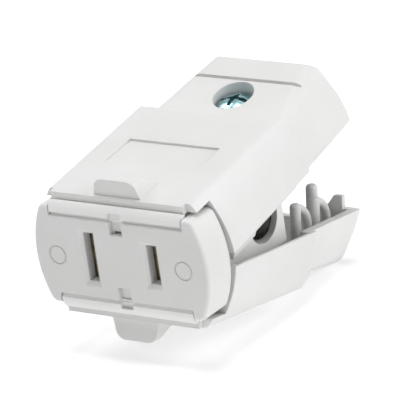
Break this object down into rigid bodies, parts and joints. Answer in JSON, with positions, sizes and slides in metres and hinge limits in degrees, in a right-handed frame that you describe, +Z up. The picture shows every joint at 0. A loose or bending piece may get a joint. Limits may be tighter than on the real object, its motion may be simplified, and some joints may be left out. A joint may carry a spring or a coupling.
{
  "type": "cord connector",
  "caption": "Hinged cord connector with polarized blade slots: covers on film hinges swing open for wiring and a screw draws them shut over the cord.",
  "frame": {"origin": "middle of the mating face, halfway between the blade slots", "axes": "+X to the right seen from the front, +Y from the mating face towards the cord end, +Z up through the cover with the screw"},
  "size_m": [0.0352, 0.0521, 0.0373],
  "materials": {
    "shell_plastic": "satin white moulded thermoplastic",
    "screw_zinc": "bright zinc plate with a faint blue-green cast",
    "contact_brass": "dull, lightly tarnished strip",
    "terminal_dark_brass": "dark oxidised",
    "terminal_nickel": "nickel plate"
  },
  "bodies": {
    "face": {"face_block": "shell_plastic", "neutral_contact": "contact_brass", "hot_contact": "contact_brass", "neutral_terminal_screw": "terminal_nickel", "hot_terminal_screw": "terminal_dark_brass"},
    "top_strap": {"top_hinge_strap": "shell_plastic"},
    "top_lid": {"top_cover": "shell_plastic", "cover_screw": "screw_zinc"},
    "bottom_strap": {"bottom_hinge_strap": "shell_plastic"},
    "bottom_lid": {"bottom_cover": "shell_plastic"}
  },
  "joints": [
    {"name": "top_strap_hinge", "type": "hinge", "parent": "face", "child": "top_strap", "pos_m": [0, 0.00087, 0.00713], "axis": [1, 0, 0], "range_deg": [-4.5, 40.5]},
    {"name": "top_cover_hinge", "type": "hinge", "parent": "top_strap", "child": "top_lid", "pos_m": [0, 0.00166, 0.00923], "axis": [1, 0, 0], "range_deg": [-4.5, 40.5]},
    {"name": "bottom_strap_hinge", "type": "hinge", "parent": "face", "child": "bottom_strap", "pos_m": [0, 0.00087, -0.00713], "axis": [-1, 0, 0], "range_deg": [-4.8, 40.2]},
    {"name": "bottom_cover_hinge", "type": "hinge", "parent": "bottom_strap", "child": "bottom_lid", "pos_m": [0, 0.00165, -0.00924], "axis": [-1, 0, 0], "range_deg": [-4.8, 40.2]}
  ]
}
